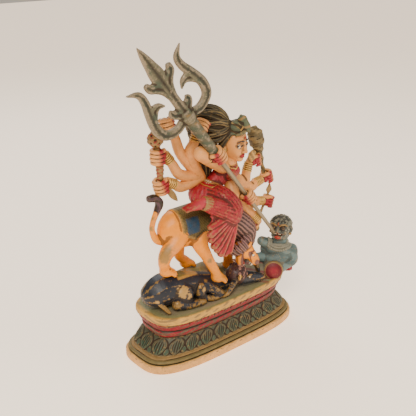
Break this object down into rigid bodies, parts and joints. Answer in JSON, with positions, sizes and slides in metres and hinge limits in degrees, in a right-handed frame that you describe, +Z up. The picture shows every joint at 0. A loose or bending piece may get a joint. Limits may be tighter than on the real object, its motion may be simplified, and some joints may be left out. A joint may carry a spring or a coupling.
{
  "type": "durga figure",
  "caption": "Painted cast brass figure of Durga riding her lion over the slain buffalo, driving a long trident into the demon at the end of an oval lotus plinth.",
  "frame": {"origin": "centre of the plinth's underside", "axes": "+Z up, +X along the plinth towards the demon, -Y towards the front, where the trident is"},
  "size_m": [0.2555, 0.103, 0.3806],
  "materials": {
    "plinth_paint": "worn enamel paint in grey-green, teal, red and gold over cast brass, grime in the recesses",
    "ground_paint": "worn navy-black and grey-green paint over cast brass, with brass showing at the edges",
    "lion_paint": "worn yellow-orange paint over cast brass with dark stripes, dark mane and a blue saddle cloth",
    "goddess_paint": "worn red and pink paint on the wrap and cream on the skin over cast brass, gold edges",
    "trident_patina": "dull olive-grey brass patina, lighter on the edges",
    "demon_paint": "worn blue-grey paint over cast brass with a red and olive shield"
  },
  "bodies": {
    "root": {"plinth": "plinth_paint", "buffalo_mound": "ground_paint", "lion": "lion_paint", "goddess": "goddess_paint", "trident": "trident_patina", "demon": "demon_paint"}
  },
  "joints": []
}
